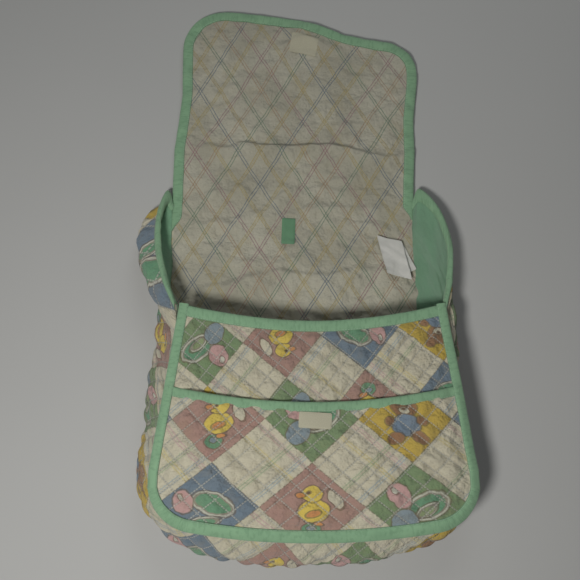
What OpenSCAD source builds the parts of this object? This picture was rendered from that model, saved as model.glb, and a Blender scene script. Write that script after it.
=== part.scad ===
// Quilted changing bag with a fold-over flap, lying on its back with the flap thrown open.
// +X is to the right of the front, +Y runs from the bag's bottom to the flap's free end, +Z is up.
// The bag is a back, a front with a pocket, a wall strip between them, and a flap in two panels.

/* [Fabric] */
// Thickness of one layer of printed cotton or of lining
skin_t = 0.5; // [0.3:0.1:0.7]
// Thickness of the wadding between two layers of fabric
wadding_t = 2.6; // [1.8:0.1:3.2]
// Width of the folded binding tape
tape_w = 9.5; // [7:0.5:12]
// Thickness of one side of the folded tape
tape_t = 0.5; // [0.3:0.1:0.6]

/* [Back] */
// Width of the back at the fold line, where the flap starts
back_top_w = 258; // [240:1:270]
// Angle by which each side of the back leans outwards towards the bottom
back_flare = 3; // [0.5:0.1:5]
// Height of the back from its bottom edge to the fold line
back_h = 302; // [290:1:312]
// Radius of the back's bottom corners
back_corner_r = 55; // [40:1:70]
// Where the middle of the fold line lies, measured from the model's centre
fold_at = [-12.3, 73.1]; // [-300:0.1:300]

/* [Front] */
// Width of the front at its top edge
front_top_w = 262; // [250:1:270]
// Angle by which each side of the front leans outwards towards the bottom
front_flare = 8.5; // [5:0.5:9]
// Height of the front at its sides
front_h = 226; // [215:1:235]
// Radius of the front's bottom corners
front_corner_r = 48; // [40:1:60]
// How far the front's top corners lie below the fold line
front_drop = 121; // [110:1:130]
// How far the slumped front lies to the right of the back
front_slump = 20; // [10:0.5:24]
// Height of the front's underside above the floor
front_z = 46; // [40:1:48]
// How far the middle of each open top edge dips
edge_dip = 17; // [8:1:24]

/* [Wall] */
// How far the wall bows out at its right end, beside the mouth
right_end_bow = 22; // [10:1:28]
// How far the wall bows out under the right side of the front
right_bow = 6; // [2:1:10]
// How far the wall bows out along the bottom
bottom_bow = 43; // [30:1:46]
// How far the wall bows out along the left side
left_bow = 12; // [8:1:16]
// How far the wall bows out at its left end, beside the mouth
left_end_bow = 32; // [16:1:34]

/* [Pocket] */
// How far the pocket's top corners lie below the front's top corners
pocket_drop = 80; // [70:1:95]
// Gap between the pocket and the front
pocket_gap = 6; // [5:0.5:7]

/* [Flap] */
// Length of the crown, the flap's first panel, between its two folds
crown_len = 62; // [61:1:75]
// Length of the flap from the fold line along its left side
flap_left = 230; // [220:1:240]
// Length of the flap from the fold line along its rumpled right side
flap_right = 180; // [170:1:200]
// How far the flap's free end lies to the right of the fold line's middle
flap_lean = 7; // [0:1:10]
// Radius of the free end's left corner
flap_left_r = 46; // [35:1:60]
// Radius of the free end's right corner
flap_right_r = 40; // [25:1:50]

/* [Fittings] */
// Length and width of the closure patch on the pocket
hook_size = [31, 15]; // [12:1:38]
// Length and width of the closure patch inside the flap
loop_size = [30, 22]; // [12:1:38]
// Thickness of a closure patch
patch_t = 1.4; // [1:0.1:1.6]
// Width and length of the tab sewn to the lining
tab_size = [14, 28]; // [10:1:34]
// Width and length of the care label
care_size = [24, 43]; // [18:1:46]
// Width and length of the size label
size_size = [19, 34]; // [14:1:40]

/* [Hidden] */

mint = "mediumaquamarine";
print_cloth = "thistle";
plaid_cloth = "antiquewhite";
batting = "ivory";

quilt_t = wadding_t + 2 * skin_t;
tape_lip = 1;         // the tape's fold, outside the quilt's cut edge
fold_gap = 0.3;       // clearance on each side of a fold
back_z = tape_t;
back_top = back_z + quilt_t;
bottom_r = 700;       // radius of the slightly round bottom edges
arc_steps = 10;
side_steps = 7;
bottom_steps = 14;
bow_steps = 8;
dip_steps = 16;

function mix(a, b, s) = a + (b - a) * s;
function ease(s) = s * s * (3 - 2 * s);
function unit(v) = v / norm(v);
function reversed(list) = [for (i = [len(list) - 1 : -1 : 0]) list[i]];

// ---- the outline of the back and of the front: a tub with leaning sides, round corners and a round bottom

// A tub is [middle of its top, half its top width, flare, height, corner radius].
back_tub = [fold_at, back_top_w / 2, back_flare, back_h, back_corner_r];
front_at = fold_at + [front_slump, -front_drop];
front_tub = [front_at, front_top_w / 2, front_flare, front_h, front_corner_r];

function down(t) = [sin(t[2]), -cos(t[2])];
function inward(t) = [-cos(t[2]), -sin(t[2])];
function bottom_centre(t) = [0, bottom_r - t[3]];

// The corner's centre lies a corner radius inside both the side and the bottom's arc.
function corner_centre(t) =
    let (start = [t[1], 0] + t[4] * inward(t),
         gap = start - bottom_centre(t),
         reach = bottom_r - t[4],
         b = gap * down(t))
    start + (-b + sqrt(b * b - gap * gap + reach * reach)) * down(t);

function bottom_angle(t) = let (c = corner_centre(t) - bottom_centre(t)) atan2(c[0], -c[1]);

// The right half of the outline, moved in by inset. Place 0 to 1 is the side, 1 to 2 the corner, 2 to 2.5 the bottom.
function half_tub(t, place, inset) =
    place <= 1 ? let (top = [t[1], 0], foot = corner_centre(t) - t[4] * inward(t))
        top + place * (foot - top) + inset * inward(t)
    : place <= 2 ? let (a = -t[2] + (place - 1) * (bottom_angle(t) - 90 + t[2]))
        corner_centre(t) + (t[4] - inset) * [cos(a), sin(a)]
    : let (a = bottom_angle(t) * (2.5 - place) * 2)
        bottom_centre(t) + (bottom_r - inset) * [sin(a), -cos(a)];

function tub(t, place, inset = 0) =
    t[0] + (place <= 2.5 ? half_tub(t, place, inset)
        : let (p = half_tub(t, 5 - place, inset)) [-p[0], p[1]]);

all_places = concat(
    [for (i = [0 : side_steps]) i / side_steps],
    [for (i = [1 : arc_steps]) 1 + i / arc_steps],
    [for (i = [1 : bottom_steps]) 2 + i / bottom_steps],
    [for (i = [1 : arc_steps]) 3 + i / arc_steps],
    [for (i = [1 : side_steps]) 4 + i / side_steps]);

function places(first, last) = concat(
    [first], [for (p = all_places) if (p > first + 0.01 && p < last - 0.01) p], [last]);

function tub_line(t, inset, first = 0, last = 5) = [for (p = places(first, last)) tub(t, p, inset)];

// A flat band along the tub between two insets.
module tub_band(t, from, to, first = 0, last = 5) {
    polygon(concat(tub_line(t, from, first, last), reversed(tub_line(t, to, first, last))));
}

// ---- open top edges, which dip in the middle

// The place on the tub's side that lies drop below its top.
function side_place(t, drop) = drop / (half_tub(t, 0, 0) - half_tub(t, 1, 0))[1];

// A dipping edge from the right side to the left side, moved down by inset and cut short by side_inset.
function dip_line(t, drop, side_inset, inset) =
    let (place = side_place(t, drop), right = tub(t, place), left = tub(t, 5 - place),
         start = side_inset / norm(left - right), stops = [for (i = [1 : dip_steps - 1]) i / dip_steps])
    [for (s = concat([start], [for (i = stops) if (i > start && i < 1 - start) i], [1 - start]))
        right + s * (left - right) - [0, inset + edge_dip * 4 * s * (1 - s)]];

module panel(t, drop, side_inset, edge_inset) {
    place = side_place(t, drop + edge_inset);
    polygon(concat(tub_line(t, side_inset, place, 5 - place), reversed(dip_line(t, drop, side_inset, edge_inset))));
}

module dip_band(t, drop, side_inset, from, to) {
    polygon(concat(dip_line(t, drop, side_inset, from), reversed(dip_line(t, drop, side_inset, to))));
}

module slab(z, t) {
    translate([0, 0, z]) linear_extrude(t) children();
}

// Tape folded around a quilt's cut edge: children(0) is the tape's band, children(1) the quilt's part of it.
module folded_tape(z) {
    difference() {
        slab(z - tape_t, quilt_t + 2 * tape_t) children(0);
        slab(z, quilt_t) children(1);
    }
}

// ---- the back, which lies on the floor

top_trim = side_place(back_tub, fold_gap);

module back_sheet() {
    polygon(tub_line(back_tub, tape_lip, top_trim, 5 - top_trim));
}

module back_outer() {
    color(print_cloth) slab(back_z, skin_t) back_sheet();
}

module back_wadding() {
    color(batting) slab(back_z + skin_t, wadding_t) back_sheet();
}

module back_lining() {
    color(plaid_cloth) slab(back_top - skin_t, skin_t) back_sheet();
}

module back_binding() {
    color(mint) folded_tape(back_z) {
        tub_band(back_tub, 0, tape_w, top_trim, 5 - top_trim);
        tub_band(back_tub, tape_lip, tape_w + 1, 0, 5);
    }
}

tab_t = 0.8;
tab_drop = 22;

module lining_tab() {
    color("seagreen") translate([fold_at[0] - 4 - tab_size[0] / 2, fold_at[1] - tab_drop - tab_size[1], back_top])
        cube([tab_size[0], tab_size[1], tab_t]);
}

// ---- the wall: one strip up the right side, along the bottom and up the left side, bowed outwards

wall_foot = back_top + tape_t;
wall_head = front_z - tape_t - fold_gap;
seam_inset = tape_w / 2;
mouth_right = side_place(back_tub, 2);
mouth_left = 5 - mouth_right;
mouth_tape = 0.055;   // the part of the strip's side that its end tape covers

function outward(place) =
    let (step = 0.02, d = tub(back_tub, min(place + step, 5)) - tub(back_tub, max(place - step, 0)))
    [-d[1], d[0]] / norm(d);

function bow(place) =
    place < 1 ? mix(right_end_bow, right_bow, ease(place))
    : place < 2.2 ? mix(right_bow, bottom_bow, ease((place - 1) / 1.2))
    : place < 2.8 ? bottom_bow
    : place < 4 ? mix(bottom_bow, left_bow, ease((place - 2.8) / 1.2))
    : mix(left_bow, left_end_bow, ease(place - 4));

// A point of the wall: place runs along the strip, rise from the back (0) to the front (1), out is across its thickness.
function wall_point(place, rise, out) =
    let (foot = tub(back_tub, place, seam_inset), head = tub(front_tub, place, seam_inset),
         p = mix(foot, head, rise) + (bow(place) * sin(180 * rise) + out) * outward(place))
    [p[0], p[1], mix(wall_foot, wall_head, rise)];

// The strip between two places and two depths in its thickness, as one closed shell.
module wall_strip(first, last, inner, outer) {
    stations = places(first, last);
    ring = 2 * (bow_steps + 1);
    points = [for (s = stations, i = [0 : ring - 1])
        i <= bow_steps ? wall_point(s, i / bow_steps, outer) : wall_point(s, (ring - 1 - i) / bow_steps, inner)];
    sides = [for (k = [0 : len(stations) - 2], i = [0 : ring - 1])
        let (a = k * ring + i, b = k * ring + (i + 1) % ring)
        each i > bow_steps ? [[a, a + ring, b], [a + ring, b + ring, b]]
            : [[a, b + ring, b], [a, a + ring, b + ring]]];
    end = (len(stations) - 1) * ring;
    caps = [for (i = [0 : bow_steps - 1])
        let (a = i, b = i + 1, c = ring - 2 - i, d = ring - 1 - i)
        each [[a, b, c], [a, c, d], [c + end, b + end, a + end], [d + end, c + end, a + end]]];
    polyhedron(points, concat(sides, caps));
}

// The wall's layers are measured level, and the wall slopes, so they are wider than the cloth is thick.
wall_half = quilt_t / 2;
wall_core = wall_half - 2 * skin_t;
strip_start = mouth_right + mouth_tape;
strip_end = mouth_left - mouth_tape;

module wall_outer() {
    color(print_cloth) wall_strip(strip_start, strip_end, wall_core, wall_half);
}

module wall_wadding() {
    color(batting) wall_strip(strip_start, strip_end, -wall_core, wall_core);
}

module wall_lining() {
    color("lightgreen") wall_strip(strip_start, strip_end, -wall_half, -wall_core);
}

module mouth_binding_right() {
    color(mint) wall_strip(mouth_right, strip_start, -wall_half - tape_t, wall_half + tape_t);
}

module mouth_binding_left() {
    color(mint) wall_strip(strip_end, mouth_left, -wall_half - tape_t, wall_half + tape_t);
}

// ---- the front

front_top = front_z + quilt_t;

module front_sheet() {
    panel(front_tub, 0, tape_lip, tape_lip);
}

module front_outer() {
    color(print_cloth) slab(front_top - skin_t, skin_t) front_sheet();
}

module front_wadding() {
    color(batting) slab(front_z + skin_t, wadding_t) front_sheet();
}

module front_lining() {
    color(plaid_cloth) slab(front_z, skin_t) front_sheet();
}

module front_binding() {
    color(mint) folded_tape(front_z) {
        tub_band(front_tub, 0, tape_w);
        tub_band(front_tub, tape_lip, tape_w + 1);
    }
}

module front_top_binding() {
    color(mint) folded_tape(front_z) {
        dip_band(front_tub, 0, tape_w, 0, tape_w);
        dip_band(front_tub, 0, tape_w - 1, tape_lip, tape_w + 1);
    }
}

// ---- the pocket, sewn to the front round three sides

pocket_z = front_top + pocket_gap;
pocket_top = pocket_z + quilt_t;
pocket_inset = tape_w + 0.2;
pocket_rim = 2;
hook_at = front_at + [1.5, -pocket_drop - edge_dip - tape_w - 0.5 - hook_size[1] / 2];

module pocket_sheet() {
    panel(front_tub, pocket_drop, pocket_inset, tape_lip);
}

module pocket_outer() {
    color(print_cloth) slab(pocket_top - skin_t, skin_t) pocket_sheet();
}

module pocket_wadding() {
    color(batting) slab(pocket_z + skin_t, wadding_t) pocket_sheet();
}

// The lining's rim turns down to the front, where the pocket is sewn on.
module pocket_lining() {
    place = side_place(front_tub, pocket_drop + tape_w + 1);
    color(plaid_cloth) {
        slab(pocket_z, skin_t) pocket_sheet();
        slab(front_top, pocket_gap + skin_t / 2)
            tub_band(front_tub, pocket_inset, pocket_inset + pocket_rim, place, 5 - place);
    }
}

module pocket_top_binding() {
    color(mint) folded_tape(pocket_z) {
        dip_band(front_tub, pocket_drop, pocket_inset, 0, tape_w);
        dip_band(front_tub, pocket_drop, pocket_inset - 1, tape_lip, tape_w + 1);
    }
}

module closure_patch(at, size, z, turn = 0) {
    corner_r = 1.5;
    color("wheat") translate([at[0], at[1], z]) rotate(turn) difference() {
        translate([-size[0] / 2, -size[1] / 2, 0]) cube([size[0], size[1], patch_t]);
        for (x = [-1, 1], y = [-1, 1]) translate([x * size[0] / 2, y * size[1] / 2, -1])
            rotate(45) cube([corner_r, corner_r, 2 * patch_t + 2], center = true);
    }
}

module hook_patch() {
    closure_patch(hook_at, hook_size, pocket_top);
}

// ---- the flap, in two panels: the crown next to the back, then the flap itself

base_right = fold_at + [back_top_w / 2, 0];
base_left = fold_at - [back_top_w / 2, 0];
tip_right = base_right + [flap_lean + 3, flap_right];
tip_left = base_left + [flap_lean, flap_left];
second_fold = fold_at[1] + crown_len;

// The x of a leaning side at the height y, moved in by inset.
function side_x(base, tip, y, inset) =
    let (d = unit(tip - base)) base[0] + (y - base[1]) * d[0] / d[1] + (tip == tip_left ? inset : -inset) / d[1];

// A round corner of a path that turns left; every inset shares its centre.
function round_corner(before, at, after, r, inset) =
    let (a = unit(before - at), b = unit(after - at), half = acos(a * b) / 2,
         centre = at + unit(a + b) * r / sin(half), start = atan2(a[0], -a[1]))
    [for (i = [0 : arc_steps]) let (t = start + (180 - 2 * half) * i / arc_steps)
        centre + (r - inset) * [cos(t), sin(t)]];

flap_start = second_fold + fold_gap;

function flap_line(inset) = concat(
    [[side_x(base_right, tip_right, flap_start, inset), flap_start]],
    round_corner(base_right, tip_right, tip_left, flap_right_r, inset),
    round_corner(tip_right, tip_left, base_left, flap_left_r, inset),
    [[side_x(base_left, tip_left, flap_start, inset), flap_start]]);

function crown_line(base, tip, inset) =
    [for (y = [fold_at[1] + fold_gap, second_fold - fold_gap]) [side_x(base, tip, y, inset), y]];

module flap_sheet() {
    polygon(flap_line(tape_lip));
}

module crown_sheet() {
    polygon(concat(crown_line(base_right, tip_right, tape_lip), reversed(crown_line(base_left, tip_left, tape_lip))));
}

module crown_outer() {
    color(print_cloth) slab(back_z, skin_t) crown_sheet();
}

module crown_wadding() {
    color(batting) slab(back_z + skin_t, wadding_t) crown_sheet();
}

module crown_lining() {
    color(plaid_cloth) slab(back_top - skin_t, skin_t) crown_sheet();
}

module crown_band(base, tip, from, to) {
    polygon(concat(crown_line(base, tip, from), reversed(crown_line(base, tip, to))));
}

module crown_binding(base, tip) {
    color(mint) folded_tape(back_z) {
        crown_band(base, tip, 0, tape_w);
        crown_band(base, tip, tape_lip, tape_w + 1);
    }
}

module crown_binding_right() {
    crown_binding(base_right, tip_right);
}

module crown_binding_left() {
    crown_binding(base_left, tip_left);
}

module flap_outer() {
    color(print_cloth) slab(back_z, skin_t) flap_sheet();
}

module flap_wadding() {
    color(batting) slab(back_z + skin_t, wadding_t) flap_sheet();
}

module flap_lining() {
    color(plaid_cloth) slab(back_top - skin_t, skin_t) flap_sheet();
}

module flap_binding() {
    color(mint) folded_tape(back_z) {
        polygon(concat(flap_line(0), reversed(flap_line(tape_w))));
        polygon(concat(flap_line(tape_lip), reversed(flap_line(tape_w + 1))));
    }
}

// The patch lies just inside the binding, near the middle of the flap's free end.
end_along = unit(tip_right - tip_left);
end_inward = [end_along[1], -end_along[0]];
loop_at = (tip_left + tip_right) / 2 + 9 * end_along + (tape_w + 1 + loop_size[1] / 2) * end_inward;

module loop_patch() {
    closure_patch(loop_at, loop_size, back_top, atan2(end_along[1], end_along[0]));
}

// ---- the two leaves of the label, sewn in at the right side

label_t = 0.3;
label_lift = 0.4;
label_turn = 12;
label_at = fold_at + [114, -42];

// A leaf hangs from its top right corner and lies flat on the lining.
module leaf(size, along, z) {
    color("white") translate([label_at[0], label_at[1], z]) rotate(label_turn)
        translate([-size[0], -size[1] - along, 0]) cube([size[0], size[1], label_t]);
}

module care_label() {
    leaf(care_size, 0, back_top + 2 * label_lift + label_t);
}

module size_label() {
    leaf(size_size, 6, back_top + label_lift);
}

back_outer();
back_wadding();
back_lining();
back_binding();
lining_tab();
wall_outer();
wall_wadding();
wall_lining();
mouth_binding_right();
mouth_binding_left();
front_outer();
front_wadding();
front_lining();
front_binding();
front_top_binding();
pocket_outer();
pocket_wadding();
pocket_lining();
pocket_top_binding();
hook_patch();
crown_outer();
crown_wadding();
crown_lining();
crown_binding_right();
crown_binding_left();
flap_outer();
flap_wadding();
flap_lining();
flap_binding();
loop_patch();
care_label();
size_label();
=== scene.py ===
"""A quilted changing bag, lying open on a pale floor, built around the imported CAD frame.

Lengths are in millimetres in the row frame, and become metres where a mesh is made.
Cloth coordinates (UV) are metres of cloth, so every pattern keeps its real size.
"""

import math

import bmesh
import bpy
import numpy as np
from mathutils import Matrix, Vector


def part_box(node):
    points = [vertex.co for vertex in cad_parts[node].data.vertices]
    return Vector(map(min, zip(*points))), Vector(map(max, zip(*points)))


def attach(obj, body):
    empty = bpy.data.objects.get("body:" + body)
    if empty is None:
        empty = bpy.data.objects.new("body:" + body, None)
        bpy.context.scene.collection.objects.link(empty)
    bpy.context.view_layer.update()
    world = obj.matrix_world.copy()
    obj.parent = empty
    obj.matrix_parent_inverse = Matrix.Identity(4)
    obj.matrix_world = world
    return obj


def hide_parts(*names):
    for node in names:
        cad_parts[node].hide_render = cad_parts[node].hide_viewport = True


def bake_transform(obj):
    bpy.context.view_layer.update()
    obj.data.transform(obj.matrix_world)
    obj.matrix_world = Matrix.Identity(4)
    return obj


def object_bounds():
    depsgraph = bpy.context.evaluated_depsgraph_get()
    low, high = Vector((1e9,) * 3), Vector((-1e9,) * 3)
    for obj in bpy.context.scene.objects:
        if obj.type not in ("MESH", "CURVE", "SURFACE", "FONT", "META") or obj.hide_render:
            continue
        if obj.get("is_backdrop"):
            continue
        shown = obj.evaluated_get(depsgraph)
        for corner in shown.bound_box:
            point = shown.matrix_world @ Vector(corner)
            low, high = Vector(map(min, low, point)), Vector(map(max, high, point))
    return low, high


MM = 0.001
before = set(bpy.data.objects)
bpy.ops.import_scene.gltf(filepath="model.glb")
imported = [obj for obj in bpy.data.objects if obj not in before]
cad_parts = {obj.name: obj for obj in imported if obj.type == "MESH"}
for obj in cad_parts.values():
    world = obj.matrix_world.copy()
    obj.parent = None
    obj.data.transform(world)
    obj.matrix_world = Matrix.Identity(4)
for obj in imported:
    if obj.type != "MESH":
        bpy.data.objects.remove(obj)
cad_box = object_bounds()


def node_box(node):
    """A CAD node's lowest and highest corners, in millimetres."""
    return tuple(np.array(corner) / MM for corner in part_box(node))


# ---- sizes that the CAD and the cloth share

TAPE_W = 9.5          # width of the folded binding tape
FLAP_TAPE_W = 11.5    # and of the tape round the flap
FRONT_TAPE_W = 12.0   # and round the front, where it also covers the pocket's edge
FRONT_TOP_TAPE_W = 11.5
TAPE_T = 0.5          # one side of the tape
TAPE_FOLD = 0.4       # thickness of the cloth where the tape is folded
SEAM = TAPE_W / 2     # where the wall is sewn to the back and to the front
LIP = 1.0             # the quilt's cut edge lies this far inside the tape's fold
LINING_T = 0.5
LEAN_SHIFT = 1.4      # the crown leans, so the middle of its box lies this far right of the fold's middle

back_lo, back_hi = node_box("back_wadding")
crown_lo, crown_hi = node_box("crown_wadding")
front_lo, front_hi = node_box("front_wadding")
pocket_lo, pocket_hi = node_box("pocket_wadding")

FLOOR_Z = back_lo[2] - LINING_T        # underside of the quilt that lies on the floor
LYING_Z = back_hi[2] + LINING_T        # top of that quilt
FRONT_Z = front_lo[2] - LINING_T
FRONT_TOP = front_hi[2] + LINING_T
POCKET_Z = pocket_lo[2] - LINING_T
POCKET_TOP = pocket_hi[2] + LINING_T
FOLD_Y = (back_hi[1] + crown_lo[1]) / 2
SECOND_FOLD_Y = (crown_hi[1] + node_box("flap_wadding")[0][1]) / 2
MIDDLE_X = (crown_lo[0] + crown_hi[0]) / 2 - LEAN_SHIFT


# ---- small helpers

def ease(t):
    t = np.clip(t, 0, 1)
    return t * t * (3 - 2 * t)


def unit(v):
    return v / np.linalg.norm(v, axis=-1, keepdims=True)


def mix(a, b, t):
    return a + (b - a) * t


def with_z(xy, z):
    return np.concatenate([xy, np.asarray(z)[..., None]], -1)


def line_length(line):
    return np.linalg.norm(np.diff(line, axis=0), axis=1).sum()


def resample(points, count):
    """The same polyline with count points, evenly spaced along it."""
    points = np.asarray(points, float)
    along = np.r_[0, np.cumsum(np.linalg.norm(np.diff(points, axis=0), axis=1))]
    stops = np.linspace(0, along[-1], count)
    return np.stack([np.interp(stops, along, axis) for axis in points.T], -1)


def curve(points, count):
    """A smooth line through a few chosen points."""
    p = np.asarray(points, float)
    p = np.vstack([2 * p[0] - p[1], p, 2 * p[-1] - p[-2]])
    t = np.linspace(0, 1, 9)[:-1, None]
    pieces = [
        0.5 * (2 * b + (c - a) * t + (2 * a - 5 * b + 4 * c - d) * t**2 + (3 * b - a - 3 * c + d) * t**3)
        for a, b, c, d in zip(p, p[1:], p[2:], p[3:])
    ]
    return resample(np.vstack([*pieces, p[-2:-1]]), count)


def noise(x, y, size, seed):
    """Smooth noise from -1 to 1, with bumps about size across."""
    table = np.random.default_rng(seed).uniform(-1, 1, (64, 64))
    u, v = np.asarray(x) / size + 320, np.asarray(y) / size + 320
    i, j = np.floor(u).astype(int), np.floor(v).astype(int)
    a, b = ease(u - i), ease(v - j)
    corner = lambda di, dj: table[(i + di) % 64, (j + dj) % 64]
    return mix(mix(corner(0, 0), corner(1, 0), a), mix(corner(0, 1), corner(1, 1), a), b)


def distance(xy, *lines):
    """How far each point lies from the nearest of these polylines."""
    line = np.vstack([resample(points, 250) for points in lines])
    blocks = np.array_split(xy.reshape(-1, 2), 12)
    nearest = [np.sqrt(((block[:, None] - line) ** 2).sum(-1).min(1)) for block in blocks]
    return np.concatenate(nearest).reshape(xy.shape[:-1])


def coons(left, right, bottom, top):
    """A grid between four curves: left and right run up, bottom and top run to the right."""
    up = np.linspace(0, 1, len(left))[:, None, None]
    across = np.linspace(0, 1, len(bottom))[None, :, None]
    corners = (
        (1 - up) * (1 - across) * bottom[0] + (1 - up) * across * bottom[-1]
        + up * (1 - across) * top[0] + up * across * top[-1]
    )
    return (1 - across) * left[:, None] + across * right[:, None] + (1 - up) * bottom + up * top - corners


# ---- outlines

class Tub:
    """The outline of the back or the front: leaning sides, round corners and a slightly round bottom.

    Place 0 to 1 runs down the right side, 1 to 2 round the corner, 2 to 3 along the bottom,
    3 to 4 round the left corner and 4 to 5 up the left side."""

    bottom_r = 700.0
    step = 0.02    # between the places that give a direction

    def __init__(self, top, half_width, flare, height, corner_r):
        self.top, self.half_width, self.corner_r = np.array(top, float), half_width, corner_r
        self.lean = math.radians(flare)
        self.down = np.array([math.sin(self.lean), -math.cos(self.lean)])
        self.inward = np.array([-math.cos(self.lean), -math.sin(self.lean)])
        self.centre = np.array([0, self.bottom_r - height])
        start = np.array([half_width, 0]) + corner_r * self.inward
        gap, reach = start - self.centre, self.bottom_r - corner_r
        b = gap @ self.down
        self.corner = start + (-b + math.sqrt(b * b - gap @ gap + reach * reach)) * self.down
        c = self.corner - self.centre
        self.bottom_angle = math.atan2(c[0], -c[1])

    def half_point(self, place, inset):
        if place <= 1:
            top, foot = np.array([self.half_width, 0]), self.corner - self.corner_r * self.inward
            return mix(top, foot, place) + inset * self.inward
        if place <= 2:
            a = -self.lean + (place - 1) * (self.bottom_angle - math.pi / 2 + self.lean)
            return self.corner + (self.corner_r - inset) * np.array([math.cos(a), math.sin(a)])
        a = self.bottom_angle * (2.5 - place) * 2
        return self.centre + (self.bottom_r - inset) * np.array([math.sin(a), -math.cos(a)])

    def at(self, places, inset=0.0):
        points = [
            self.half_point(p, inset) if p <= 2.5 else self.half_point(5 - p, inset) * [-1, 1]
            for p in np.atleast_1d(places)
        ]
        return self.top + np.array(points)

    def outward(self, places):
        places = np.atleast_1d(places)
        d = self.at(np.minimum(places + self.step, 5)) - self.at(np.maximum(places - self.step, 0))
        return unit(np.stack([-d[:, 1], d[:, 0]], -1))

    def side_place(self, drop):
        """The place on the right side that lies drop below the top."""
        return drop / (self.half_point(0, 0) - self.half_point(1, 0))[1]


BACK = Tub([MIDDLE_X, FOLD_Y], 129, 3, 302, 55)
FRONT = Tub([7.7, FOLD_Y - 121], 131, 8.5, 226, 48)
POCKET_DROP = 80      # from the front's top corners down to the pocket's
EDGE_DIP = 17         # how far the open top edges dip in the middle
FLAP_RIGHT, FLAP_LEFT, FLAP_LEAN = 180, 230, 7
FLAP_RIGHT_R, FLAP_LEFT_R = 40, 46

base_left, base_right = BACK.at(5)[0], BACK.at(0)[0]
tip_left = base_left + [FLAP_LEAN, FLAP_LEFT]
tip_right = base_right + [FLAP_LEAN + 3, FLAP_RIGHT]


def tub_sides(tub, inset, rows, columns, top_place=0.0):
    """A tub's left and right sides, both upwards from the bottom's middle third, and its bottom."""
    right = resample(tub.at(np.linspace(1.5, top_place, 60), inset), rows)
    left = resample(tub.at(np.linspace(3.5, 5 - top_place, 60), inset), rows)
    return left, right, resample(tub.at(np.linspace(3.5, 1.5, 90), inset), columns)


def dip_edge(drop, inset, trim, count):
    """An open top edge of the front or the pocket, from left to right, moved down by inset."""
    place = FRONT.side_place(drop)
    left, right = FRONT.at(5 - place)[0], FRONT.at(place)[0]
    margin = trim / np.linalg.norm(right - left)
    s = np.linspace(0, 1, count) * (1 - 2 * margin) + margin
    sag = inset + EDGE_DIP * 4 * s * (1 - s)
    return mix(left, right, s[:, None]) - np.stack([0 * sag, sag], -1)


def flap_side(base, tip, y, inset):
    """A point at the height y on one leaning side of the crown and the flap."""
    d = unit(tip - base)
    towards_middle = 1 if base[0] < MIDDLE_X else -1
    return np.array([base[0] + (y - base[1]) * d[0] / d[1] + towards_middle * inset / d[1], y])


def round_corner(before, at, after, radius, inset):
    a, b = unit(before - at), unit(after - at)
    half = math.acos(a @ b) / 2
    centre = at + unit(a + b) * radius / math.sin(half)
    start = math.atan2(a[0], -a[1])
    turn = np.linspace(start, start + math.pi - 2 * half, 25)
    return centre + (radius - inset) * np.stack([np.cos(turn), np.sin(turn)], -1)


def flap_corners(inset):
    """The flap's right and left round corners, each from right to left."""
    return (round_corner(base_right, tip_right, tip_left, FLAP_RIGHT_R, inset),
            round_corner(tip_right, tip_left, base_left, FLAP_LEFT_R, inset))


def flap_line(inset, right_y, left_y):
    """The flap's edge from right_y on the right, round the free end and down to left_y on the left.
    Every inset has the same number of points, so two insets make a band."""
    right, left = flap_corners(inset)
    legs = [
        (flap_side(base_right, tip_right, right_y, inset), right[0], 56),
        (right[-1], left[0], 70),
        (left[-1], flap_side(base_left, tip_left, left_y, inset), 70),
    ]
    straight = [mix(a, b, np.linspace(0, 1, n)[:, None]) for a, b, n in legs]
    return np.vstack([straight[0][:-1], right, straight[1][1:-1], left, straight[2][1:]])


# ---- how the cloth lies

# Ridges of the rumpled back and flap. The steep side is on the left of each route.
FOLDS = [
    # height, steep side, gentle side, route
    (7.0, 2.6, 13, [(-123, 143), (-85, 129), (-67, 135), (-45, 132), (-4, 131), (29, 132), (53, 127),
        (77, 121), (99, 120), (118, 129)]),
    (3.0, 2.2, 9, [(-48, 51), (-8, 58), (1, 63), (18, 66), (34, 66), (49, 63), (71, 62), (92, 66),
        (103, 70)]),
    (3.0, 4.0, 12, [(-135, 39), (-110, 44), (-89, 48), (-68, 50), (-44, 53), (-14, 58)]),
    (2.4, 3.0, 10, [(-104, 11), (-83, 8), (-62, 4), (-41, 4), (-20, 8), (-4, 10)]),
    (5.0, 3.0, 14, [(-123, -34), (-103, -25), (-77, -19), (-51, -12), (-25, -7), (-4, -10), (27, -11),
        (48, -5), (74, -5), (90, -11), (110, -20)]),
    (2.2, 3.0, 8, [(-83, 77), (-68, 86), (-52, 97)]),
    (2.2, 3.0, 8, [(-113, 154), (-99, 147), (-89, 152)]),
    (2.6, 2.5, 9, [(28, 52), (49, 48), (76, 44), (97, 39)]),
    (1.6, 4.0, 9, [(62, 178), (78, 186), (98, 182), (112, 188)]),
    (1.8, 4.0, 10, [(-20, 262), (10, 254), (40, 246), (62, 240)]),
    (1.5, 4.0, 10, [(-118, 96), (-96, 88), (-72, 84)]),
]
FOLDS = [(height, steep, gentle, curve(route, 48)) for height, steep, gentle, route in FOLDS]


def small_folds(count, low, high, heights, lengths, seed):
    """Short creases at random places in a box, most of them nearly level."""
    rng = np.random.default_rng(seed)
    folds = []
    for _ in range(count):
        start = rng.uniform(low, high)
        length, turn, bend = rng.uniform(*lengths), rng.normal(0, 0.55), rng.normal(0, 0.35)
        turns = [turn + bend * k for k in (-1, 0, 1)]
        steps = np.array([length / 3 * np.array([math.cos(a), math.sin(a)]) for a in turns])
        route = start + np.vstack([[0, 0], np.cumsum(steps, axis=0)])
        folds.append((rng.uniform(*heights), rng.uniform(1.8, 3.2), rng.uniform(3.5, 8), curve(route, 14)))
    return folds


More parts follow.
